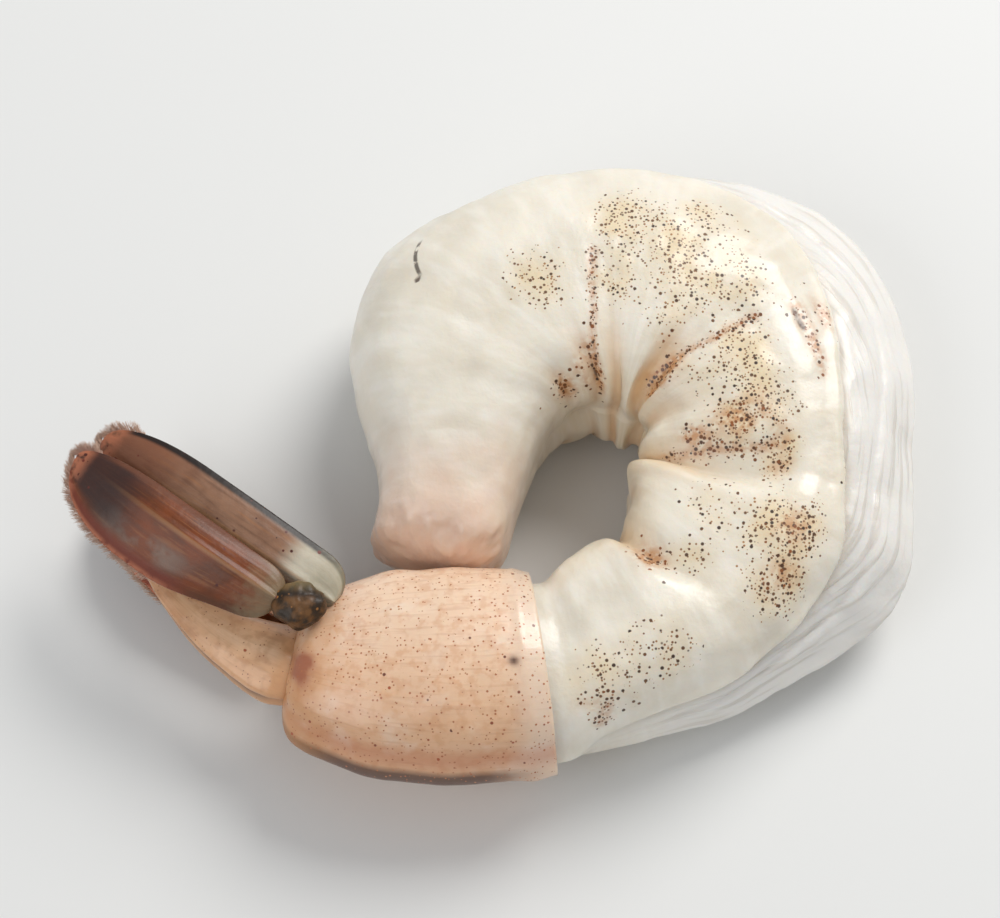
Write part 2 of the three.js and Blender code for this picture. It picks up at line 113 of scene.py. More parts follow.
SHELL_SIZES = table("at back belly side", [
    (79, 7.5, 7.8, 6.4), (84, 7.9, 8.3, 6.4), (89, 7.8, 8.2, 6.0), (94, 7.0, 7.1, 4.8),
    (98.5, 5.4, 4.2, 3.1),
])
SHELL_ROUNDNESS = 2.1
SHELL_THICKNESS = 0.6
SHELL_FRONT = 79.4
SHELL_END = 98.5
SHELL_CAP = 2.2
SHELL_CAP_ROUNDNESS = 3.2
KEEL = {"height": 0.7, "angle": 9}
CLEARANCE = 0.3
TAIL_HEIGHT = 7.6
LIFT = {"from": 66, "full": 84}

TELSON = {
    "x": -16.5, "y": -13.5, "heading": 157, "bend": 33, "length": 15.2, "depth": 3.35,
    "side": 2.3, "point": 0.1, "base_cap": 1.6, "base_roundness": 2.5, "tip_cap": 1.5,
}
KNUCKLE = {"x": -15.2, "y": -10.5, "side": 5.0, "long": 1.8, "deep": 1.9, "thick": 1.25}
UROPOD_SIDES = [("upper", 1, 144), ("lower", -1, 136)]  # name, mirror, heading
BLADE_TILT = 22
BLADE_SPLAY = 2
BLADES = {
    "inner": {"x": -17.1, "y": -9.5, "side": 4.9, "length": 18.9, "back": 4.4, "belly": 1.9,
              "rib": 0.3},
    "outer": {"x": -13.9, "y": -8.5, "side": 3.3, "length": 20.8, "back": 3.1, "belly": 2.9,
              "rib": 0.25},
}
BACK_STEM = 0.6
BELLY_STEM = 0.95
STEM_LENGTH = 0.5
BLADE_TIP = {"length": 0.4, "roundness": 2.2}
BLADE_BASE = {"length": 0.13, "roundness": 2.5}
BLADE_THICKNESS = 0.5
BLADE_EDGE = 0.22
BLADE_CAMBER = 0.9
CAMBER_START = 0.15
BLADE_BOW = 0.8
RIB_WIDTH = 0.16
BLADE_CROWDING = 0.11

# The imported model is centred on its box, so its knuckle says how far it was moved.
LOW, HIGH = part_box("uropod_base_upper")
SHIFT = np.array([
    (LOW.x + HIGH.x) / (2 * MM) - KNUCKLE["x"], (LOW.y + HIGH.y) / (2 * MM) - KNUCKLE["y"], 0,
])


# ---- Small helpers -----------------------------------------------------------------------------

def lerp(a, b, t):
    return a + (b - a) * t


def smooth(low, high, value):
    t = np.clip((value - low) / (high - low), 0, 1)
    return t * t * (3 - 2 * t)


def along(rows, key, s):
    """A smooth curve through the rows of a table, read at stations s."""
    at, value = rows["at"], rows[key]
    last = len(at) - 1
    before = np.maximum(np.arange(last + 1) - 1, 0)
    after = np.minimum(np.arange(last + 1) + 1, last)
    slope = (value[after] - value[before]) / (at[after] - at[before])
    s = np.clip(s, at[0], at[last])
    i = np.clip(np.searchsorted(at, s, side="right") - 1, 0, last - 1)
    gap = at[i + 1] - at[i]
    t = (s - at[i]) / gap
    start = value[i] + gap * slope[i] * t
    end = value[i + 1] - gap * slope[i + 1] * (1 - t)
    return lerp(start, end, t * t * (3 - 2 * t))


def cap_share(distance, length, roundness):
    """How far a rounded end has filled out at a distance from its tip, from 0 to 1."""
    t = np.clip(1 - distance / length, 0, 1)
    return (1 - t ** roundness) ** (1 / roundness)


def bump(value, centre, width):
    return np.exp(-(((value - centre) / width) ** 2))


def noise(places, size, seed):
    """Smooth random values from -1 to 1 that change over about size millimetres."""
    cells = 48
    lattice = np.random.default_rng(seed).uniform(-1, 1, (cells,) * 3)
    scaled = places / np.asarray(size, float)
    corner = np.floor(scaled).astype(int)
    t = scaled - corner
    t = t * t * (3 - 2 * t)
    total = 0
    for offset in np.ndindex(2, 2, 2):
        share = np.prod(np.where(offset, t, 1 - t), axis=-1)
        x, y, z = np.moveaxis((corner + offset) % cells, -1, 0)
        total = total + share * lattice[x, y, z]
    return total


def layered_noise(places, size, seed, layers=3):
    return sum(noise(places, size / 2 ** i, seed + i) / 2 ** i for i in range(layers))


# ---- Spine and sections ------------------------------------------------------------------------

def even_heading(s):
    heading = SPINE_START["heading"]
    start = 0
    for length, bend in STRETCHES:
        heading = heading - bend * np.clip((s - start) / length, 0, 1)
        start += length
    return heading


def heading_at(s):
    return (even_heading(s - BEND_SOFTNESS) + even_heading(s) + even_heading(s + BEND_SOFTNESS)) / 3


SPINE_S = np.arange(HEAD_TIP, SHELL_END + 2, SPINE_STEP)
SPINE_TURN = np.radians(heading_at(SPINE_S[:-1] + SPINE_STEP / 2))
START_TURN = math.radians(SPINE_START["heading"])
SPINE_X = SPINE_STEP * np.append(0, np.cumsum(np.cos(SPINE_TURN)))
SPINE_X += SPINE_START["x"] + HEAD_TIP * math.cos(START_TURN)
SPINE_Y = SPINE_STEP * np.append(0, np.cumsum(np.sin(SPINE_TURN)))
SPINE_Y += SPINE_START["y"] + HEAD_TIP * math.sin(START_TURN)


def height_at(s):
    lying = along(FLESH_SIZES, "side", s) - FLAT_DEPTH
    return lerp(lying, TAIL_HEIGHT, smooth(LIFT["from"], LIFT["full"], s))


def placed(s, out, up):
    """A point of the section at s: out towards the back, up towards the upper flank."""
    turn = np.radians(heading_at(s))
    x = np.interp(s, SPINE_S, SPINE_X) - np.sin(turn) * out
    y = np.interp(s, SPINE_S, SPINE_Y) + np.cos(turn) * out
    return np.stack(np.broadcast_arrays(x, y, np.maximum(0, height_at(s) + up)), -1)


def round_radius(sizes, s, back_roundness, belly_roundness, angle):
    """Radius of a squarish ellipse with a deeper or shallower back and belly."""
    is_back = np.cos(angle) > 0
    roundness = np.where(is_back, back_roundness, belly_roundness)
    reach = np.where(is_back, along(sizes, "back", s), along(sizes, "belly", s))
    out = np.abs(np.cos(angle)) / reach
    up = np.abs(np.sin(angle)) / along(sizes, "side", s)
    return (out ** roundness + up ** roundness) ** (-1 / roundness)


def from_back(angle):
    degrees = np.degrees(angle) % 360
    return np.where(degrees > 180, degrees - 360, degrees)


def slit_share(s, angle):
    """The share by which the slit raises or sinks the section at an angle."""
    degrees = from_back(angle)
    rim, lip = along(SLIT_GAPE, "rim", s), along(SLIT_GAPE, "lip", s)
    foot = lip - LIP_WIDTH
    outside = 1 + (RIM_REACH - 1) * smooth(SLIT_FROM, rim, degrees) ** RIM_EASE
    inward = np.clip((degrees - rim) / (foot - rim), 0, 1)
    face = lerp(RIM_REACH, FOOT_REACH, inward ** FACE_EASE)
    edge = lerp(FOOT_REACH, LIP_REACH, smooth(foot, lip, degrees))
    flank = lerp(LIP_REACH, 1, smooth(lip, lip + LIP_FADE, degrees))
    reach = np.select([degrees <= rim, degrees <= foot, degrees <= lip], [outside, face, edge], flank)
    return 1 + (reach - 1) * along(SLIT_GAPE, "open", s)


def belly_share(angle):
    return (1 - np.cos(angle)) / 2


def leaned(row, angle):
    """The station that a row reaches at an angle, so that the rows run along the folds."""
    return row + along(LEANS, "lean", row) * smooth(LEAN_FROM, 1, belly_share(angle))


def fold_depth(row, angle):
    """How deep the folds sink the surface. A soft fold has a rounder and shallower bottom."""
    strength = lerp(BACK_FOLD, BELLY_FOLD, smooth(BELLY_FROM, 1, belly_share(angle)))
    depth = 0
    for at, deep, soft in zip(FOLDS["at"], FOLDS["depth"], FOLDS["soft"]):
        distance = row - at
        slope = np.where(distance > 0, distance / FOLD_RISE, -distance / FOLD_REACH)
        slope = np.hypot(slope, soft)
        depth = np.maximum(depth, deep * strength * (1 - np.minimum(1, slope)) ** 2)
    return depth


def shell_radius(s, angle):
    keel = KEEL["height"] * bump(from_back(angle), 0, KEEL["angle"])
    return round_radius(SHELL_SIZES, s, SHELL_ROUNDNESS, SHELL_ROUNDNESS, angle) + keel


def inside_shell(s, angle, inset):
    """The shell's section moved inwards by an even distance, as out and up."""
    def rim(a):
        radius = shell_radius(s, a)
        return np.stack([radius * np.cos(a), radius * np.sin(a)], -1)

    nudge = math.radians(1)
    edge = rim(angle + nudge) - rim(angle - nudge)
    edge /= np.linalg.norm(edge, axis=-1, keepdims=True)
    return rim(angle) + np.stack([-edge[..., 1], edge[..., 0]], -1) * inset


def flesh_section(row, angle):
    s = leaned(row, angle)
    groove = BELLY_GROOVE["depth"] * bump(np.abs(from_back(angle)), 180, BELLY_GROOVE["angle"])
    groove = groove * smooth(BELLY_GROOVE["from"], BELLY_GROOVE["full"], s)
    radius = round_radius(FLESH_SIZES, s, BACK_ROUNDNESS, BELLY_ROUNDNESS, angle)
    radius = radius * slit_share(s, angle) - fold_depth(row, angle) - groove
    free = np.stack([radius * np.cos(angle), radius * np.sin(angle)], -1)
    tucked = inside_shell(s, angle, SHELL_THICKNESS + CLEARANCE)
    return lerp(free, tucked, smooth(TONGUE_START - 3, TONGUE_START, s)[..., None])


# ---- Meshes ------------------------------------------------------------------------------------

def make_piece(name, points, faces, masks, node, slot, material):
    """A smooth-shaded piece that stands for a CAD node. Its masks drive its material."""
    mesh = bpy.data.meshes.new(name)
    mesh.from_pydata(((points + SHIFT) * MM).tolist(), [], faces)
    mesh.polygons.foreach_set("use_smooth", np.ones(len(mesh.polygons), bool))
    for key, values in masks.items():
        attribute = mesh.attributes.new(key, "FLOAT", "POINT")
        attribute.data.foreach_set("value", np.asarray(values, np.float32).ravel())
    mesh.materials.append(material)
    piece = bpy.data.objects.new(name, mesh)
    bpy.context.collection.objects.link(piece)
    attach(piece, "root")
    if node:
        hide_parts(node)


def skin(rings, start, end, masks, flipped=False):
    """Points, faces and masks of a closed skin over rings, with a point at each end."""
    count, around = rings.shape[:2]
    points = np.concatenate([[start], rings.reshape(-1, 3), [end]])
    j = np.arange(around)
    k = (j + 1) % around
    first = 1 + np.arange(count - 1)[:, None] * around
    quads = np.stack([first + j, first + k, first + k + around, first + j + around], -1)
    last = 1 + (count - 1) * around
    heads = np.stack([0 * j, 1 + k, 1 + j], -1)
    tails = np.stack([0 * j + len(points) - 1, last + j, last + k], -1)
    faces = quads.reshape(-1, 4).tolist() + heads.tolist() + tails.tolist()
    if flipped:
        faces = [face[::-1] for face in faces]
    closed = {}
    for key, values in masks.items():
        values = np.broadcast_to(values, (count, around))
        closed[key] = np.concatenate([[values[0].mean()], values.ravel(), [values[-1].mean()]])
    return points, faces, closed


def outward(rings):
    """Normals of rings whose points run round in the direction of the angle."""
    down = np.gradient(rings, axis=0)
    across = np.roll(rings, -1, axis=1) - np.roll(rings, 1, axis=1)
    normal = np.cross(across, down)
    return normal / np.maximum(np.linalg.norm(normal, axis=-1, keepdims=True), 1e-9)


def turns(count):
    return np.arange(count) * 2 * math.pi / count


def cap_stations(tip, length, towards, count):
    """Stations of a rounded end, closer together near its tip."""
    stations = tip + towards * length * (1 - np.cos(np.arange(1, count + 1) * math.pi / 2 / count))
    return stations if towards > 0 else stations[::-1]


# ---- Colours -----------------------------------------------------------------------------------

def srgb(code):
    """A linear colour from its usual six digits."""
    parts = np.array([int(code[i:i + 2], 16) for i in (0, 2, 4)]) / 255
    linear = np.where(parts <= 0.04045, parts / 12.92, ((parts + 0.055) / 1.055) ** 2.4)
    return (*linear.tolist(), 1)


# A Mix node's sockets for colours: its two inputs and its result.
FIRST_COLOUR, SECOND_COLOUR, MIXED_COLOUR = 6, 7, 2


class Look:
    """A node material: colour and height are built up so far. Colours are given by six digits."""

    def __init__(self, name, base, **shader):
        self.material = bpy.data.materials.new(name)
        self.material.use_nodes = True
        self.tree = self.material.node_tree
        self.shader = self.tree.nodes["Principled BSDF"]
        for key, value in shader.items():
            self.shader.inputs[key.replace("_", " ")].default_value = value
        self.place = self.node("ShaderNodeTexCoord").outputs["Object"]
        self.colour = srgb(base)
        self.height = None

    def node(self, kind, inputs=None, **settings):
        made = self.tree.nodes.new(kind)
        for key, value in settings.items():
            setattr(made, key, value)
        for key, value in (inputs or {}).items():
            self.feed(made.inputs[key], value)
        return made

    def feed(self, socket, value):
        if isinstance(value, bpy.types.NodeSocket):
            self.tree.links.new(value, socket)
        else:
            socket.default_value = value

    def mask(self, name):
        return self.node("ShaderNodeAttribute", attribute_name=name).outputs["Fac"]

    def math(self, operation, a, b=0.0, clamp=False):
        made = self.node("ShaderNodeMath", {0: a, 1: b}, operation=operation, use_clamp=clamp)
        return made.outputs[0]

    def range(self, value, low, high, to_low=0.0, to_high=1.0):
        inputs = {"Value": value, "From Min": low, "From Max": high, "To Min": to_low,
                  "To Max": to_high}
        made = self.node("ShaderNodeMapRange", inputs, interpolation_type="SMOOTHSTEP")
        return made.outputs["Result"]

    def all_of(self, *shares):
        total = shares[0]
        for share in shares[1:]:
            total = self.math("MULTIPLY", total, share)
        return total

    def skin_place(self, **stretch):
        """A place along the body and round it. A small share makes patterns longer on an axis."""
        inputs = {"X": self.mask("along"), "Y": self.mask("around")}
        for axis, share in stretch.items():
            inputs[axis] = self.math("MULTIPLY", inputs[axis], share)
        return self.node("ShaderNodeCombineXYZ", inputs).outputs[0]

    def thread(self, start, end, bow, width):
        """A thin bowed line on the skin between two places, along and round the body."""
        half = math.dist(start, end) / 2
        middle = [(a + b) / 2 for a, b in zip(start, end)]
        turn = math.atan2(end[1] - start[1], end[0] - start[0])
        inputs = {"Vector": self.skin_place(), "Location": (*middle, 0),
                  "Rotation": (0, 0, turn), "Scale": (half, half, 1)}
        turned_place = self.node("ShaderNodeMapping", inputs, vector_type="TEXTURE").outputs[0]
        axes = self.node("ShaderNodeSeparateXYZ", {"Vector": turned_place}).outputs
        arch = self.all_of(axes["X"], axes["X"], bow)
        off = self.math("ABSOLUTE", self.math("ADD", axes["Y"], arch))
        inside = self.range(self.math("ABSOLUTE", axes["X"]), 1.0, 0.7)
        return self.all_of(self.range(off, width / half, 0.4 * width / half), inside)

    def noise(self, size, detail=2.0, place=None):
        inputs = {"Vector": place or self.place, "Scale": 1 / size, "Detail": detail}
        return self.node("ShaderNodeTexNoise", inputs).outputs["Fac"]

    def blend(self, share, first, second):
        inputs = {"Factor": share, FIRST_COLOUR: first, SECOND_COLOUR: second}
        return self.node("ShaderNodeMix", inputs, data_type="RGBA").outputs[MIXED_COLOUR]

    def tint(self, share, code, strength=1.0):
        """Moves the colour towards another by a share."""
        if strength != 1.0:
            share = self.math("MULTIPLY", share, strength, clamp=True)
        self.colour = self.blend(share, self.colour, srgb(code))

    def tint_masks(self, *rows):
        for name, code, strength in rows:
            self.tint(self.mask(name), code, strength)

    def raise_by(self, value, amount):
        part = self.math("MULTIPLY", value, amount)
        self.height = part if self.height is None else self.math("ADD", self.height, part)

    def specks(self, cell, density, small, large, dark, light):
        """Round specks. Density, from 0 to 1, is the share of cells that hold one."""
        cells = self.node("ShaderNodeTexVoronoi", {"Vector": self.place, "Scale": 1 / cell})
        lots = self.node("ShaderNodeSeparateColor", {"Color": cells.outputs["Color"]}).outputs
        radius = self.range(lots["Red"], 0.0, 1.0, small / cell, large / cell)
        nearness = self.math("DIVIDE", cells.outputs["Distance"], radius)
        dot = self.range(nearness, 1.0, 0.6)
        held = self.math("LESS_THAN", lots["Green"], density)
        speck = self.blend(lots["Blue"], srgb(dark), srgb(light))
        self.colour = self.blend(self.all_of(dot, held), self.colour, speck)

    def done(self, depth):
        """Height values are millimetres; depth scales them."""
        self.feed(self.shader.inputs["Base Color"], self.colour)
        if self.height is not None:
            inputs = {"Height": self.height, "Distance": depth * MM, "Strength": 1.0}
            relief = self.node("ShaderNodeBump", inputs)
            self.feed(self.shader.inputs["Normal"], relief.outputs["Normal"])
        return self.material


# ---- Flesh -------------------------------------------------------------------------------------

ROUND_MM = 0.15  # millimetres of skin per degree round the body

# Patches: where they are along and round the body, how far they reach and how strong they are.
PATCH = "at angle along around share"
SPECK_CLOUDS = table(PATCH, [
    (22.6, 97, 2.1, 15, 0.8), (30.6, 75, 2.0, 14, 1.0), (29.6, 104, 1.9, 17, 1.0),
    (34.2, 92, 2.6, 22, 1.0), (37.5, 110, 2.2, 18, 0.9), (35.6, 64, 2.0, 12, 0.7),
    (39.2, 90, 1.9, 16, 1.0), (45.5, 112, 2.8, 17, 1.0), (50, 108, 2.8, 17, 1.0),
    (53.6, 95, 1.6, 9, 0.9), (53.4, 49, 1.4, 7, 0.6), (59.2, 84, 2.2, 12, 0.9),
    (59.8, 68, 2.2, 11, 1.0), (62.6, 60, 1.8, 15, 1.0), (64.1, 107, 1.8, 11, 0.6),
    (58.6, 108, 2.6, 20, 0.4), (72.2, 66, 2.4, 17, 0.7), (76, 58, 2.2, 22, 0.65),
])
# Ochre with dark grains, where skin and glands are left on the upper flank.
OCHRE_PATCHES = table(PATCH, [
    (16.2, 148, 1.8, 7, 0.9), (20.2, 147, 1.6, 9, 0.7), (23.6, 146, 1.6, 12, 1.0),
    (42, 143, 1.8, 9, 1.0), (38.4, 128, 1.5, 7, 0.5), (50.4, 113, 1.4, 13, 1.0),
    (51.5, 102, 1.0, 8, 0.9), (52, 136, 1.1, 8, 0.7), (54.4, 94, 0.8, 6, 0.6),
    (43.8, 71, 1.3, 5, 1.0), (46.6, 69.5, 1.6, 3.5, 0.9), (44.3, 56, 1.2, 4, 0.5),
    (59.2, 72, 1.1, 9, 0.7), (62.4, 62, 1.2, 9, 0.8), (66.2, 122, 1.4, 10, 0.9),
    (76.4, 42, 1.6, 7, 0.9),
])
DARK_MARKS = table(PATCH, [
    (17.5, 49, 0.3, 1.8, 1.0), (22.9, 148, 0.6, 6, 0.9), (44, 72, 1.1, 2.8, 1.0),
    (41.6, 141, 0.6, 3, 0.4), (66, 123, 0.4, 4, 0.4), (76, 34, 0.7, 1.4, 0.8),
])
# Furrows in the belly wall between muscle bundles.
FURROWS = table(PATCH, [
    (16, 148, 1.3, 12, 0.5), (22.6, 152, 1.8, 18, 0.7), (30, 162, 1.8, 20, 0.5),
    (39.4, 148, 1.8, 18, 0.8), (47.5, 160, 1.8, 20, 0.6), (60.5, 168, 1.4, 16, 0.5),
])
# Brown lines along the creases between rings, as rows and angles that they pass.
CREASE_LINES = [
    [(27.8, 92), (26.5, 123), (22.8, 152)], [(42.6, 92), (42.5, 116), (41.8, 134), (42.6, 150)],
    [(52.8, 92), (53, 126), (54.4, 148)], [(76.4, 26), (75.8, 40)],
]
# A dark thread left on the shoulder, by the cut that took the head off.
THREAD = {"from": (19.4, 34), "to": (17.5, 49), "bow": 0.16, "width": 0.17}
FLESH_FACETS = 256
FLESH_ROWS = np.concatenate([
    cap_stations(HEAD_TIP, HEAD_CAP, 1, 20),
    np.linspace(HEAD_TIP + HEAD_CAP, TONGUE_START, 280)[1:],
    np.linspace(TONGUE_START, FLESH_END - SHELL_CAP, 16)[1:-1],
    cap_stations(FLESH_END, SHELL_CAP, -1, 6),
])


def patches(rows, row, degrees, power=1.0):
    """The strongest of some soft patches at each place."""
    total = 0
    for at, angle, far, wide, share in zip(*(rows[key] for key in rows)):
        part = share * bump(row, at, far) * bump(degrees, angle, wide)
        total = np.maximum(total, part ** power)
    return total


def line_share(lines, row, degrees, width):
    """How near each place is to one of some lines across the skin."""
    here = np.stack([row, degrees * ROUND_MM], -1)
    nearest = np.full(row.shape, np.inf)
    for line in lines:
        points = np.array(line) * [1, ROUND_MM]
        for start, end in zip(points, points[1:]):
            run = end - start
            t = np.clip((here - start) @ run / (run @ run), 0, 1)
            nearest = np.minimum(nearest, np.linalg.norm(here - start - t[..., None] * run, axis=-1))
    return bump(nearest, 0, width)


def flesh_zones(row, s, degrees):
    """How much each place belongs to the slit, the belly, a fold, a crease or the cut head end."""
    off = np.abs(degrees)
    rim, lip = along(SLIT_GAPE, "rim", s), along(SLIT_GAPE, "lip", s)
    foot = lip - LIP_WIDTH
    inward = (degrees - rim) / (foot - rim)
    opening = smooth(0.08, 0.5, along(SLIT_GAPE, "open", s))
    free = smooth(TONGUE_START, TONGUE_START - 3, row)
    # The strip is the far half of the slit, from outside its rim to the foot of the lip.
    strip = smooth(rim - 34, rim - 8, degrees) * smooth(foot + 5, foot - 1, degrees) * opening
    return SimpleNamespace(
        off=off, inward=inward, free=free, strip=strip,
        face=smooth(-0.1, 0.08, inward) * smooth(1.02, 0.85, inward) * opening,
        lip=bump(degrees, lip - 1, 5) * opening,
        # The foot of the lip is sunk in the relief and also painted darker in the colour, a painted
        # shadow line.
        foot=bump(degrees, foot, 5) * opening,
        belly=smooth(118, 150, off) * smooth(8, 18, row) * free,
        fold=sum(bump(row, at, 2.2) for at in FOLDS["at"]) * free,
        crease=line_share(CREASE_LINES, row, off, 0.45) * free,
        head_cut=smooth(4.0, 0.6, row),
    )


def flesh_relief(rings, row, degrees, zones):
    """Low relief of muscle, wrinkles and cuts, in millimetres along the normal."""
    skin_place = np.stack([row, degrees * ROUND_MM, 0 * row], -1)
    wander = 0.9 * noise(skin_place, (9, 3, 1), 21)[..., None] * [1, 0, 0]
    fibres = noise(skin_place + wander, (6, 0.5, 1), 22)
    arcs = noise(skin_place, (0.9, 5, 1), 23)
    seam_at = 0.5 + 0.1 * noise(skin_place, (11, 50, 1), 24)
    seam = bump(zones.inward, seam_at - 0.1, 0.08) - 1.3 * bump(zones.inward, seam_at + 0.02, 0.05)
    wrinkles = layered_noise(skin_place + wander, 1.9, 25, 2)
    bundles = noise(skin_place + wander, (2.4, 6, 1), 26)
    muscle = noise(skin_place + wander, (1.3, 6, 1), 27)
    lobes = noise(skin_place + wander, (6.5, 9, 1), 29)
    # Rows crowd together on the belly side of a bend, where only broad lobes have room.
    room = np.linalg.norm(np.gradient(rings, axis=0), axis=-1) / np.gradient(row, axis=0)
    room = np.clip(room, 0, 1) ** 1.5
    belly = 0.26 * bundles * room + 0.09 * wrinkles * room + 0.4 * lobes * (1 - room)

    relief = (0.2 * layered_noise(rings, 5.2, 11) + 0.05 * noise(rings, 1.3, 15)) * zones.free
    relief += 0.025 * muscle - 0.05 * zones.crease
    relief += zones.strip * (0.025 * fibres + 0.035 * arcs) + 0.14 * seam * zones.face
    relief += 0.08 * wrinkles * zones.fold * smooth(30, 80, zones.off) * room
    relief += zones.belly * belly
    relief += 0.2 * zones.lip * (1 + 0.5 * noise(skin_place, (3, 4, 1), 28)) - 0.25 * zones.foot
    relief -= 0.5 * patches(FURROWS, row, zones.off) * zones.free
    relief -= 0.15 * patches(DARK_MARKS, row, degrees)
    relief += 0.25 * zones.head_cut * layered_noise(rings, 1.4, 31)
    return relief


def flesh_masks(rings, row, s, angle, zones):
    degrees = from_back(angle)
    ragged = layered_noise(rings, 2.2, 41)
    clouds = np.clip(1.7 * patches(SPECK_CLOUDS, row, zones.off, 0.8) - 0.16, 0, 1)
    specks = clouds * np.clip(1 + 0.9 * ragged, 0.3, 1) + zones.crease
    ochre = patches(OCHRE_PATCHES, row, degrees) * (0.9 + 1.2 * ragged) + 0.7 * zones.crease
    marks = patches(DARK_MARKS, row, degrees) * (1 + 0.8 * ragged)
    furrows = patches(FURROWS, row, zones.off) + 0.45 * zones.fold * smooth(112, 150, zones.off)
    cream = clouds * (0.75 + 0.5 * ragged) + 0.35 * zones.belly + 0.12 * ragged
    return {
        "along": s * MM, "around": degrees * ROUND_MM * MM,
        "specks": np.clip(specks, 0, 1) * (1 - zones.strip) * zones.free,
        "ochre": np.clip(ochre, 0, 1), "marks": np.clip(marks, 0, 1),
        "furrow": np.clip(furrows, 0, 1) * zones.free,
        "cream": np.clip(cream, 0, 1) * (1 - zones.strip),
        # The pink tint at the cut head end is partly the flesh's own colour and partly painted shade.
        "blush": smooth(11, -1, row + 1.5 * ragged), "strip": zones.strip, "foot": zones.foot,
        # Painted shade: the fold mask darkens the flesh as deep as the folds sink.
        "fold": np.clip(fold_depth(row, angle) / 1.2, 0, 1) * zones.free,
    }


def flesh_piece(material):
    row, angle = np.broadcast_arrays(FLESH_ROWS[:, None], turns(FLESH_FACETS)[None, :])
    cap = cap_share(row - HEAD_TIP, HEAD_CAP, HEAD_CAP_ROUNDNESS)
    cap = cap * cap_share(FLESH_END - row, SHELL_CAP, SHELL_CAP_ROUNDNESS)
    section = flesh_section(row, angle) * cap[..., None]
    s = leaned(row, angle)
    rings = placed(s, section[..., 0], section[..., 1])
    degrees = from_back(angle)
    zones = flesh_zones(row, s, degrees)

    # No relief on the flat that it rests on, nor at the tips, where the facets are tiny.
    relief = flesh_relief(rings, row, degrees, zones)
    relief *= smooth(0.05, 1.2, rings[..., 2]) * smooth(0, 0.35, cap)
    rings = rings + outward(rings) * relief[..., None]
    rings[..., 2] = np.maximum(rings[..., 2], 0)

    start, end = placed(np.array([HEAD_TIP, FLESH_END]), 0, 0)
    made = skin(rings, start, end, flesh_masks(rings, row, s, angle, zones))
    make_piece("flesh_dressed", *made, "flesh", "flesh", material)


def flesh_look():
    look = Look(
        "raw_flesh", "eae3d4", Roughness=0.42, Subsurface_Weight=0.4,
        Subsurface_Scale=0.002, Subsurface_Radius=(1.0, 0.72, 0.5), Coat_Weight=0.35,
        Coat_Roughness=0.16,
    )
    look.tint(look.range(look.noise(0.006, 3), 0.35, 0.72), "d6cdbb", 0.7)
    muscle = look.noise(0.0011, 2, look.skin_place(Y=0.2))
    look.tint(look.range(muscle, 0.42, 0.7), "f5f1e8", 0.4)
    # Painted shade in the folds and at the foot of the lip; the pink at the cut head end is partly
    # painted shade.
    look.tint_masks(
        ("fold", "d5c6ac", 0.5), ("cream", "e2cda6", 0.8), ("blush", "e0b69c", 0.65),
        ("furrow", "d8a566", 0.8), ("strip", "e9e6e1", 0.92), ("foot", "c3b5a0", 0.7),
    )
    lines = look.noise(0.0006, 2, look.skin_place(X=0.1))
    fibres = look.all_of(look.range(lines, 0.5, 0.68), look.mask("strip"))
    look.tint(fibres, "cdc5ba", 0.6)
    grain = look.noise(0.0005, 2)
    stain = look.all_of(look.mask("ochre"), look.range(grain, 0.25, 0.6))
    look.tint(stain, "bf7f42", 0.8)
    look.tint(look.range(look.mask("marks"), 0.4, 0.8), "4a2f1c", 0.85)
    ends = [(row * MM, degrees * ROUND_MM * MM) for row, degrees in (THREAD["from"], THREAD["to"])]
    thread = look.thread(*ends, THREAD["bow"], THREAD["width"] * MM)
    look.tint(look.all_of(thread, look.range(grain, 0.3, 0.5)), "45382d", 0.85)
    look.specks(0.00029, look.mask("specks"), 0.00007, 0.00012, "6e482c", "a97c4e")
    look.specks(0.0004, look.mask("specks"), 0.00009, 0.00018, "36261c", "76502f")
    look.specks(0.00034, look.mask("ochre"), 0.00011, 0.0002, "43260f", "935422")
    look.raise_by(look.noise(0.0012, 3), 0.5)
    look.raise_by(fibres, 0.3)
    look.raise_by(grain, 0.2)
    return look.done(0.16)


flesh_piece(flesh_look())


# ---- Shell of the sixth ring -------------------------------------------------------------------

SHELL_FACETS = 192
SHELL_ROUND_MM = 0.13  # millimetres of shell per degree round it
FRONT_DOT = table(PATCH, [(81.7, 78, 0.36, 3, 1.0)])
HINGE_STAIN = table(PATCH, [(97.4, 62, 1, 17, 1.0)])


def shell_stations(end, rows, cap_rows):
    """Stations from the shell's open front to a rounded end."""
    straight = np.linspace(SHELL_FRONT, end - SHELL_CAP, rows)[:-1]
    return np.concatenate([straight, cap_stations(end, SHELL_CAP, -1, cap_rows)])[:, None]


def shell_relief(outside, s, degrees):
    """Fine lines, dents, a rolled front edge and a hollow along each side of the keel."""
    skin_place = np.stack(np.broadcast_arrays(s, degrees * SHELL_ROUND_MM, 0), -1)
    lines = 1 - 2 * np.abs(noise(skin_place, (6, 0.34, 1), 51))
    relief = 0.012 * lines + 0.1 * layered_noise(outside, 4.5, 52)
    relief -= 0.12 * bump(s, SHELL_FRONT, 0.55)
    return relief + 0.1 * bump(s, SHELL_FRONT + 1.5, 0.5) - 0.14 * bump(np.abs(degrees), 22, 5)


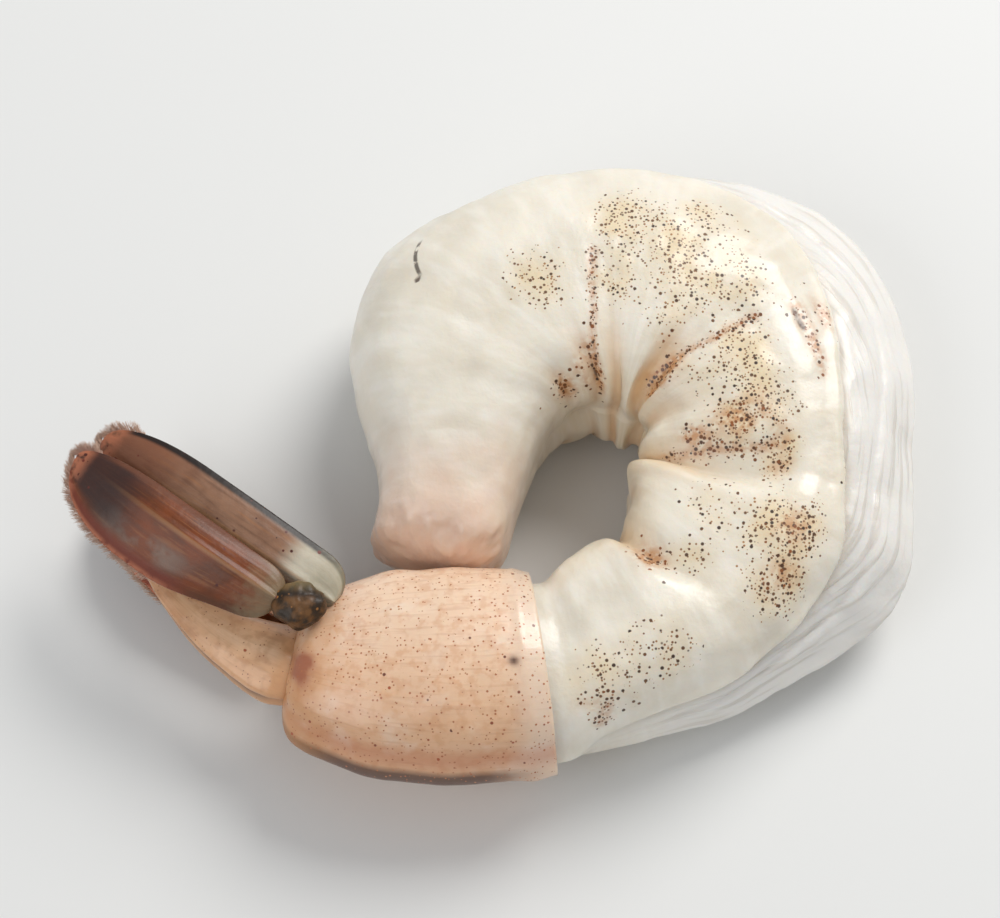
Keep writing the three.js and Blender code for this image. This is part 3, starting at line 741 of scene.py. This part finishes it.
def shell_masks(rings, s, degrees):
    ragged = layered_noise(rings, 1.6, 53)
    off = np.abs(degrees)
    return {
        "along": s * MM, "around": degrees * SHELL_ROUND_MM * MM,
        "front": smooth(SHELL_FRONT + 3.4, SHELL_FRONT + 0.6, s),
        "keel": smooth(9, 4, np.abs(degrees - 1)) * smooth(SHELL_FRONT, SHELL_FRONT + 5, s),
        "keel_side": bump(off, 16, 7),
        "rear": smooth(93, 97.5, s),
        # Painted light and shade: the upper flank and belly, which face the light, are painted lighter,
        # and the back, away from it, darker.
        "top": smooth(20, 120, degrees) * smooth(-175, -120, degrees),
        "low": smooth(100, 10, off),
        "marks": patches(FRONT_DOT, s, degrees),
        "hinge": np.clip((1.4 + 1.6 * ragged) * patches(HINGE_STAIN, s, degrees), 0, 1),
    }


def shell_piece(material):
    cavity_end = FLESH_END + CLEARANCE
    angle = turns(SHELL_FACETS)[None, :]
    degrees = from_back(angle)
    outer_s = shell_stations(SHELL_END, 90, 16)
    inner_s = shell_stations(cavity_end, 40, 8)
    share = cap_share(SHELL_END - outer_s, SHELL_CAP, SHELL_CAP_ROUNDNESS)
    radius = shell_radius(outer_s, angle) * share
    outside = placed(outer_s, radius * np.cos(angle), radius * np.sin(angle))
    relief = shell_relief(outside, outer_s, degrees) * smooth(0, 0.5, share)
    outside = outside + outward(outside) * relief[..., None]
    section = inside_shell(inner_s, angle, SHELL_THICKNESS)
    section = section * cap_share(cavity_end - inner_s, SHELL_CAP, SHELL_CAP_ROUNDNESS)[..., None]
    inside = placed(inner_s, section[..., 0], section[..., 1])

    rings = np.concatenate([inside[::-1], outside])
    s = np.concatenate([inner_s[::-1], outer_s])
    start, end = placed(np.array([cavity_end, SHELL_END]), 0, 0)
    made = skin(rings, start, end, shell_masks(rings, s, degrees))
    make_piece("tail_shell_dressed", *made, "tail_shell", "tail_shell", material)


WET_SHELL = {
    "Roughness": 0.36, "Subsurface_Radius": (1.0, 0.6, 0.35), "Coat_Weight": 0.4,
    "Coat_Roughness": 0.16,
}


def shell_look():
    look = Look("tail_shell", "f0c6a2", Subsurface_Weight=0.25, Subsurface_Scale=0.0015, **WET_SHELL)
    look.tint(look.range(look.noise(0.0045, 3), 0.35, 0.7), "dcab82", 0.5)
    # Painted light on the upper flank and belly, painted shade towards the back.
    look.tint_masks(("top", "f2d8c2", 0.5), ("low", "d39c70", 0.5))
    mottling = look.noise(0.0008, 3)
    look.tint(look.range(mottling, 0.45, 0.68), "cf9467", 0.4)
    look.tint(look.range(look.noise(0.0026, 3), 0.5, 0.8), "f6e6d6", 0.45)
    lines = look.noise(0.00035, 2, look.skin_place(X=0.1))
    look.tint(look.range(lines, 0.52, 0.72), "bd8763", 0.25)
    look.tint_masks(
        ("front", "e6cfba", 0.75), ("keel_side", "b5653f", 0.45), ("keel", "4a2a1c", 0.92),
        ("rear", "c68b53", 0.55), ("hinge", "9a5236", 0.85),
    )
    look.tint(look.mask("marks"), "4a2c22")
    look.specks(0.0003, 0.5, 0.00005, 0.00011, "b97a52", "a9623c")
    some = look.math("ADD", look.math("MULTIPLY", look.mask("front"), 0.35), 0.05)
    look.specks(0.0005, some, 0.00008, 0.00016, "6b4030", "b0562c")
    look.raise_by(mottling, 0.35)
    look.raise_by(lines, 0.2)
    return look.done(0.1)


shell_piece(shell_look())


# ---- Telson ------------------------------------------------------------------------------------

TELSON_TUCK = 2.2  # how far soft skin joins the telson's base to the shell
TELSON_ROWS = 120
TELSON_FACETS = 96
TELSON_ROUND_MM = 0.05  # millimetres of shell per degree round it


def telson_line():
    """Distance along the telson, its heading and its middle, for each row."""
    step = (TELSON["length"] + TELSON_TUCK) / TELSON_ROWS
    at = np.arange(1, TELSON_ROWS + 1) * step - TELSON_TUCK
    turn = np.radians(TELSON["heading"] - TELSON["bend"] * np.maximum(0, at) / TELSON["length"])
    x = np.cumsum(step * np.cos(turn))
    y = np.cumsum(step * np.sin(turn))
    x += TELSON["x"] - np.interp(0, at, x)
    y += TELSON["y"] - np.interp(0, at, y)
    return at, turn, x, y


def telson_piece(material):
    at, turn, x, y = telson_line()
    reach = TELSON["length"] + TELSON["tip_cap"] / 4
    taper = lerp(1, TELSON["point"], np.maximum(0, at) / TELSON["length"])
    size = taper * cap_share(at + TELSON_TUCK, TELSON["base_cap"], TELSON["base_roundness"])
    size *= lerp(0.8, 1, smooth(-TELSON_TUCK, 1.6, at))
    size = size * cap_share(reach - at, TELSON["tip_cap"], 2)
    angle = turns(TELSON_FACETS)[None, :]
    degrees = from_back(angle)
    off = np.abs(degrees)
    groove = 1 - 0.16 * bump(degrees, 0, 14) + 0.05 * bump(off, 30, 12)
    groove = groove + 0.04 * bump(off, 92, 10)
    out = TELSON["depth"] * size[:, None] * np.cos(angle) * groove
    up = TELSON["side"] * size[:, None] * np.sin(angle) * groove
    rings = np.stack([
        x[:, None] - np.sin(turn)[:, None] * out, y[:, None] + np.cos(turn)[:, None] * out,
        TAIL_HEIGHT + up,
    ], -1)
    dents = 0.05 * layered_noise(rings, 2.4, 61)
    rings = rings + outward(rings) * (dents * smooth(0, 0.4, size[:, None]))[..., None]
    masks = {
        "along": at[:, None] * MM, "around": degrees * TELSON_ROUND_MM * MM,
        "edge": bump(degrees, 0, 16),
        "tip": smooth(0.55, 1, at / TELSON["length"])[:, None],
        "joint": smooth(0.9, -0.4, at)[:, None],
        "side": bump(off, 90, 24),
    }
    first = np.radians(TELSON["heading"])
    start = np.array([
        TELSON["x"] - TELSON_TUCK * np.cos(first), TELSON["y"] - TELSON_TUCK * np.sin(first),
        TAIL_HEIGHT,
    ])
    tip = reach - TELSON["length"]
    end = np.array([x[-1] + tip * np.cos(turn[-1]), y[-1] + tip * np.sin(turn[-1]), TAIL_HEIGHT])
    made = skin(rings, start, end, masks)
    make_piece("telson_dressed", *made, "telson", "telson", material)


def telson_look():
    look = Look("telson", "e2b084", Subsurface_Weight=0.2, Subsurface_Scale=0.0012, **WET_SHELL)
    look.tint(look.range(look.noise(0.003, 3), 0.35, 0.7), "c58f60", 0.6)
    look.tint(look.mask("side"), "e6c3a0", 0.5)
    mottling = look.noise(0.0009, 3)
    look.tint(look.range(mottling, 0.45, 0.68), "b67f56", 0.4)
    streaks = look.noise(0.0004, 2, look.skin_place(X=0.12))
    look.tint(look.range(streaks, 0.5, 0.72), "9c6442", 0.2)
    look.tint_masks(("edge", "5b463c", 0.8), ("tip", "8f5c40", 0.4), ("joint", "cf9a6c", 0.7))
    look.specks(0.0003, 0.3, 0.00004, 0.00008, "a8704a", "995a38")
    look.specks(0.0006, 0.08, 0.00008, 0.00018, "54382a", "b0562c")
    look.raise_by(mottling, 0.35)
    look.raise_by(streaks, 0.25)
    return look.done(0.1)


telson_piece(telson_look())


# ---- Uropods -----------------------------------------------------------------------------------

KNUCKLE_SWELL = 1.06  # soft skin fills the gaps round the knuckle
KNUCKLE_RIDGE = 0.25  # where its ridge lies, from its middle towards the belly
KNUCKLE_ROWS = 48
KNUCKLE_FACETS = 72


def knuckle_piece(name, mirror, material):
    tilt = (np.arange(1, KNUCKLE_ROWS + 1) / (KNUCKLE_ROWS + 1) * math.pi)[:, None]
    angle = turns(KNUCKLE_FACETS)[None, :]
    unit = np.stack(np.broadcast_arrays(
        np.sin(tilt) * np.cos(angle), np.sin(tilt) * np.sin(angle), np.cos(tilt),
    ), -1)
    size = np.array([KNUCKLE["long"], KNUCKLE["deep"], KNUCKLE["thick"]]) * KNUCKLE_SWELL
    centre = np.array([KNUCKLE["x"], KNUCKLE["y"], TAIL_HEIGHT + mirror * KNUCKLE["side"]])
    across = unit[..., 1]
    lumps = 1 + 0.2 * layered_noise(unit * size, 1.7, 71) - 0.08 * bump(across, KNUCKLE_RIDGE, 0.12)
    rings = centre + unit * size * lumps[..., None]
    masks = {"ridge": bump(across, KNUCKLE_RIDGE, 0.2), "belly_side": smooth(0.2, 0.9, across)}
    pole = np.array([0, 0, size[2]])
    made = skin(rings, centre + pole, centre - pole, masks)
    make_piece("knuckle_" + name, *made, "uropod_base_" + name, "uropod_base", material)


def knuckle_look():
    look = Look("knuckle", "6b4826", Roughness=0.5, Coat_Weight=0.15, Coat_Roughness=0.25,
                Specular_IOR_Level=0.3)
    look.tint(look.range(look.noise(0.0011, 3), 0.38, 0.6), "221a10", 0.9)
    look.tint_masks(("ridge", "1c1511", 0.8), ("belly_side", "8a7a52", 0.6))
    look.specks(0.0005, 0.25, 0.00006, 0.00016, "1a130f", "b0763c")
    look.raise_by(look.noise(0.0005, 3), 0.6)
    return look.done(0.15)


def blade_spread(share, stem):
    """How far a blade has widened at a share of its length: a stem, full width, rounded ends."""
    base = cap_share(share, BLADE_BASE["length"], BLADE_BASE["roundness"])
    tip = cap_share(1 - share, BLADE_TIP["length"], BLADE_TIP["roundness"])
    return lerp(stem, 1, smooth(0, STEM_LENGTH, share)) * base * tip


def blade_places(blade, share, side, face, root=0):
    """Points of a blade before it is turned: face is 1 on its outer face and -1 inside."""
    edge = np.where(
        side > 0,
        blade["back"] * blade_spread(share, BACK_STEM),
        blade["belly"] * blade_spread(share, BELLY_STEM),
    )
    body = 1 - np.abs(side) ** 3
    half = lerp(BLADE_EDGE, BLADE_THICKNESS, body) / 2
    rib = blade["rib"] * bump(side, 0, RIB_WIDTH) * (1 - share) * (face > 0)
    arch = np.sin(math.pi * lerp(CAMBER_START, 1, share))
    camber = BLADE_CAMBER * (1 - side * side) * arch
    middle = camber + BLADE_BOW * np.sin(math.pi * share)
    length = lerp(-root, blade["length"], share)
    return np.stack(np.broadcast_arrays(length, edge * side, middle + face * half + rib), -1)


def turned(points, blade, mirror, heading):
    """Mirrors, tilts and turns a blade's points to where it grows."""
    tilt, splay, turn = np.radians([-BLADE_TILT * mirror, -BLADE_SPLAY * mirror, heading])
    about_x = [[1, 0, 0], [0, math.cos(tilt), -math.sin(tilt)], [0, math.sin(tilt), math.cos(tilt)]]
    about_y = [[math.cos(splay), 0, math.sin(splay)], [0, 1, 0], [-math.sin(splay), 0, math.cos(splay)]]
    about_z = [[math.cos(turn), -math.sin(turn), 0], [math.sin(turn), math.cos(turn), 0], [0, 0, 1]]
    matrix = np.array(about_z) @ np.array(about_y) @ np.array(about_x)
    root = [blade["x"], blade["y"], TAIL_HEIGHT + mirror * blade["side"]]
    return (points * [1, 1, mirror]) @ matrix.T + root


BLADE_ROOTS = {"inner": 0.7, "outer": 1.8}  # how far soft skin joins a blade to the knuckle
BLADE_ROWS = 120
BLADE_COLUMNS = 44
EDGE_CROWDING = 1.15  # over 1, columns lie closer together at the edges


def blade_piece(kind, name, mirror, heading, material):
    blade = BLADES[kind]
    share = np.arange(1, BLADE_ROWS) / BLADE_ROWS
    share = share - BLADE_CROWDING * np.sin(2 * math.pi * share)
    side = np.linspace(-1, 1, BLADE_COLUMNS + 1)
    side = np.sign(side) * (1 - (1 - np.abs(side)) ** EDGE_CROWDING)
    share, side = share[:, None], side[None, :]
    faces = {}
    for face in (1, -1):
        places = blade_places(blade, share, side, face, BLADE_ROOTS[kind])
        veins = noise(np.stack(np.broadcast_arrays(share * 10, side * 14, 0), -1), (3.5, 0.9, 1), 81)
        second = bump(side, 0.3, 0.06) * smooth(0.9, 0.3, share)
        scale = smooth(0, 0.25, 1 - np.abs(side)) * smooth(1, 0.9, share)
        places[..., 2] += face * scale * (0.02 * veins + (0.05 * second if face > 0 else 0))
        faces[face] = places
    rings = np.concatenate([faces[-1], faces[1][:, ::-1]], axis=1)
    wide = np.concatenate([side, side[:, ::-1]], axis=1)
    masks = {
        "along": share * blade["length"] * MM, "around": wide * blade["back"] * MM,
        "share": share, "side": wide,
    }
    root = turned(np.array([-BLADE_ROOTS[kind], 0, 0]), blade, mirror, heading)
    tip = turned(np.array([blade["length"], 0, 0]), blade, mirror, heading)
    made = skin(turned(rings, blade, mirror, heading), root, tip, masks, mirror < 0)
    node = f"uropod_{kind}_{name}"
    make_piece(f"blade_{kind}_{name}", *made, node, "uropod_blade", material)


BLADE_COLOURS = {
    "inner": {"base": "7a3c18", "mottling": "542c14", "stem": "8d7f62"},
    "outer": {"base": "8f6a52", "mottling": "6b4733", "stem": "a39a80"},
}


def inner_blade_zones(look, share, side, mottling):
    # A grey band between the rib and the back edge: partly the blade's translucent grey, partly a
    # painted sheen.
    grey_and_sheen = look.all_of(
        look.range(side, 0.2, 0.45), look.range(side, 0.85, 0.6), look.range(share, 0.3, 0.45),
        look.range(share, 0.85, 0.7), look.range(mottling, 0.4, 0.6),
    )
    look.tint(grey_and_sheen, "8d7a6c", 0.55)
    dark = look.all_of(look.range(share, 0.55, 0.78), look.range(side, 0.85, 0.5))
    look.tint(dark, "2f1e1c", 0.88)
    red = look.all_of(look.range(side, 0.66, 0.86), look.range(share, 0.25, 0.42))
    look.tint(red, "74301f", 0.8)
    back_edge = look.all_of(look.range(side, 0.72, 0.92), look.range(share, 0.4, 0.25))
    look.tint(back_edge, "54301a", 0.8)
    belly_edge = look.all_of(look.range(side, -0.7, -0.9), look.range(share, 0.95, 0.8))
    look.tint(belly_edge, "6a3d26", 0.8)


def outer_blade_zones(look, share, side):
    look.tint(look.range(share, 0.55, 0.85), "7a4a33", 0.8)
    pale = look.all_of(look.range(share, 0.26, 0.16), look.range(side, 0.4, -0.1))
    look.tint(pale, "cbc5b2", 0.85)
    belly_edge = look.all_of(look.range(side, -0.78, -0.9), look.range(share, 0.97, 0.9))
    look.tint(belly_edge, "120d0c", 0.95)


def blade_look(kind):
    colours = BLADE_COLOURS[kind]
    look = Look(
        "uropod_" + kind, colours["base"], Roughness=0.42, Subsurface_Weight=0.12,
        Subsurface_Scale=0.0008, Subsurface_Radius=(1.0, 0.5, 0.3), Coat_Weight=0.18,
        Coat_Roughness=0.22, Specular_IOR_Level=0.3,
    )
    share, side = look.mask("share"), look.mask("side")
    mottling = look.noise(0.0024, 4)
    fine = look.noise(0.0007, 3)
    veins = look.noise(0.00035, 2, look.skin_place(X=0.1))
    look.tint(look.range(mottling, 0.38, 0.68), colours["mottling"], 0.65)
    look.tint(look.range(veins, 0.52, 0.72), "4a2e20", 0.35)
    look.tint(look.range(veins, 0.46, 0.3), "a8703f", 0.25)
    if kind == "inner":
        inner_blade_zones(look, share, side, mottling)
    else:
        outer_blade_zones(look, share, side)
    from_rib = look.math("ABSOLUTE", side)
    rib = look.all_of(look.range(from_rib, 0.09, 0.02), look.range(share, 0.9, 0.4))
    look.tint(rib, "b98a5e", 0.4)
    stem = look.range(look.math("ADD", share, look.math("MULTIPLY", fine, 0.16)), 0.26, 0.1)
    look.tint(stem, colours["stem"], 0.6)
    back_tip = look.all_of(look.range(side, 0.88, 0.98), look.range(share, 0.3, 0.5))
    tip = look.math("MAXIMUM", look.range(share, 0.91, 0.975), back_tip)
    look.tint(look.all_of(tip, look.range(fine, 0.3, 0.55)), "b56f50", 0.85)
    spots = look.math("ADD", look.math("MULTIPLY", tip, 0.35), 0.06)
    look.specks(0.0005, spots, 0.00008, 0.0002, "2a1713", "6b2c20")
    look.raise_by(veins, 0.15)
    look.raise_by(fine, 0.4)
    look.raise_by(mottling, 0.3)
    return look.done(0.12)


# Setae: the fine hairs that fringe the blades, from a share of the blade's length on its belly
# edge, round the tip, to a share on its back edge.
FRINGES = {"inner": {"belly": 0.9, "back": 0.34}, "outer": {"belly": 0.86, "back": 0.72}}
SETA_LENGTH = 0.8
SETA_WIDTH = 0.04
SETAE = 1300
SETA_SIDES = 3
SETA_STEPS = 4
SETA_INSET = 0.3  # how far inside the edge they root
SETA_EDGE = 0.97  # how far out across the blade they grow
BELLY_SETAE = 0.35  # how many grow on the belly edge for each one on the back edge
SETA_SHARES = np.linspace(0, 1, SETA_STEPS)[None, :, None]


def seta_spines(kind):
    """Points along each hair before its blade is turned, and the direction that it points in."""
    blade = BLADES[kind]
    rng = np.random.default_rng(90)
    at = np.linspace(-BELLY_SETAE, 1, SETAE) + rng.uniform(-0.5, 0.5, SETAE) / SETAE
    on_belly = at < 0
    reach = np.where(on_belly, np.abs(at) / BELLY_SETAE, at) ** 2
    edge_side = np.where(on_belly, -SETA_EDGE, SETA_EDGE)
    first = np.where(on_belly, FRINGES[kind]["belly"], FRINGES[kind]["back"])
    share = np.clip(lerp(1, first, reach), 0, 0.996)
    edge = blade_places(blade, share, edge_side, 0)
    ahead, behind = (blade_places(blade, share + step, edge_side, 0) for step in (0.003, -0.003))
    run = ahead - behind
    run[:, 2] = 0
    run /= np.linalg.norm(run, axis=1, keepdims=True)
    outside = np.stack([-run[:, 1], run[:, 0], 0 * at], -1) * np.sign(edge_side)[:, None]
    lean = 0.8 + 0.35 * noise(np.stack([at * 30, 0 * at, 0 * at], -1), 1, 91)
    aim = outside + run * (lean + rng.normal(0, 0.16, SETAE))[:, None]
    aim[:, 2] += rng.normal(0, 0.14, SETAE)
    aim /= np.linalg.norm(aim, axis=1, keepdims=True)
    length = SETA_LENGTH * rng.uniform(0.6, 1.1, SETAE) * lerp(0.45, 1, smooth(1, 0.75, reach))
    bend = 0.2 * rng.normal(0.5, 0.4, SETAE)
    spine = edge[:, None] - SETA_INSET * outside[:, None]
    spine = spine + aim[:, None] * (length + SETA_INSET)[:, None, None] * SETA_SHARES
    spine = spine + run[:, None] * (bend[:, None, None] * SETA_SHARES ** 2)
    spine[..., 2] -= 0.2 * SETA_SHARES[..., 0] ** 2
    return spine, aim


def seta_mesh(spine, aim):
    """Points and faces of closed tapering hairs round their spines."""
    width = SETA_WIDTH * (1 - 0.75 * SETA_SHARES)
    across = np.cross(aim, [0, 0, 1])
    across /= np.linalg.norm(across, axis=1, keepdims=True)
    above = np.cross(across, aim)
    turn = turns(SETA_SIDES)[:, None]
    circle = across[:, None, None] * np.cos(turn) + above[:, None, None] * np.sin(turn)
    points = spine[:, :, None] + circle * width[:, :, None]
    corner = np.arange(SETA_SIDES)
    after = (corner + 1) % SETA_SIDES
    row = np.arange(SETA_STEPS - 1)[:, None] * SETA_SIDES
    walls = np.stack([row + corner, row + after, row + after + SETA_SIDES,
                      row + corner + SETA_SIDES], -1).reshape(-1, 4)
    caps = np.stack([corner[::-1], corner + (SETA_STEPS - 1) * SETA_SIDES])
    seta = np.arange(SETAE)[:, None, None] * (SETA_STEPS * SETA_SIDES)
    faces = (seta + walls).reshape(-1, 4).tolist() + (seta + caps).reshape(-1, SETA_SIDES).tolist()
    return points.reshape(-1, 3), faces


def fringe_piece(kind, name, mirror, heading, material):
    points, faces = seta_mesh(*seta_spines(kind))
    if mirror < 0:
        faces = [face[::-1] for face in faces]
    shade = np.broadcast_to(SETA_SHARES[..., 0], (SETAE, SETA_STEPS))
    masks = {"length": np.repeat(shade.ravel(), SETA_SIDES)}
    points = turned(points, BLADES[kind], mirror, heading)
    make_piece(f"fringe_{kind}_{name}", points, faces, masks, None, "uropod_blade", material)


def fringe_look():
    look = Look("setae", "9a5a44", Roughness=0.45, Coat_Weight=0.25, Coat_Roughness=0.25)
    look.tint(look.range(look.noise(0.0014, 2), 0.35, 0.65), "b98c73", 0.8)
    look.tint(look.mask("length"), "d6bba6", 0.75)
    return look.done(0.1)


KNUCKLE_LOOK = knuckle_look()
BLADE_LOOKS = {kind: blade_look(kind) for kind in BLADES}
FRINGE_LOOK = fringe_look()
for name, mirror, heading in UROPOD_SIDES:
    knuckle_piece(name, mirror, KNUCKLE_LOOK)
    for kind in BLADES:
        blade_piece(kind, name, mirror, heading, BLADE_LOOKS[kind])
        fringe_piece(kind, name, mirror, heading, FRINGE_LOOK)


# ---- Stage, light and camera -------------------------------------------------------------------

FLOOR_REACH = 2.0
FLOOR_DROP = 0.00005  # keeps the floor clear of the flat that the shrimp rests on
LIGHT_TARGET = Vector((0, 0, 0.008))


def floor():
    mesh = bpy.data.meshes.new("floor")
    corners = [(x * FLOOR_REACH, y * FLOOR_REACH, 0) for x, y in ((-1, -1), (1, -1), (1, 1), (-1, 1))]
    mesh.from_pydata(corners, [], [(0, 1, 2, 3)])
    look = Look("floor", "e2e2e0", Roughness=0.6)
    look.tint(look.noise(0.4, 2), "dadad8", 0.4)
    mesh.materials.append(look.done(0.1))
    made = bpy.data.objects.new("floor", mesh)
    made.location.z = -FLOOR_DROP
    bpy.context.collection.objects.link(made)


def area_light(name, place, size, watts, colour):
    light = bpy.data.lights.new(name, "AREA")
    light.shape = "DISK"
    light.size = size
    light.energy = watts
    light.color = colour
    lamp = bpy.data.objects.new(name, light)
    lamp.location = place
    lamp.rotation_euler = (LIGHT_TARGET - lamp.location).to_track_quat("-Z", "Y").to_euler()
    bpy.context.collection.objects.link(lamp)


floor()
area_light("key", (0.22, 0.28, 0.38), 0.3, 1.95, (1.0, 0.985, 0.96))
area_light("fill", (-0.35, -0.25, 0.35), 0.4, 0.8, (0.96, 0.98, 1.0))

world = bpy.data.worlds.new("studio")
world.use_nodes = True
world.node_tree.nodes["Background"].inputs["Color"].default_value = (0.95, 0.97, 1.0, 1)
world.node_tree.nodes["Background"].inputs["Strength"].default_value = 0.46
bpy.context.scene.world = world
bpy.context.scene.view_settings.view_transform = "Standard"

VIEW_ELEVATION = math.radians(65)
VIEW_DISTANCE = 0.218
VIEW_TARGET = Vector((0.0, 0.0006, 0.0075))
camera_data = bpy.data.cameras.new("camera")
camera_data.lens = 100
camera_data.clip_start = 0.01
camera = bpy.data.objects.new("camera", camera_data)
towards_camera = Vector((0, -math.cos(VIEW_ELEVATION), math.sin(VIEW_ELEVATION)))
camera.location = VIEW_TARGET + towards_camera * VIEW_DISTANCE
camera.rotation_euler = towards_camera.to_track_quat("Z", "Y").to_euler()
bpy.context.collection.objects.link(camera)
bpy.context.scene.camera = camera
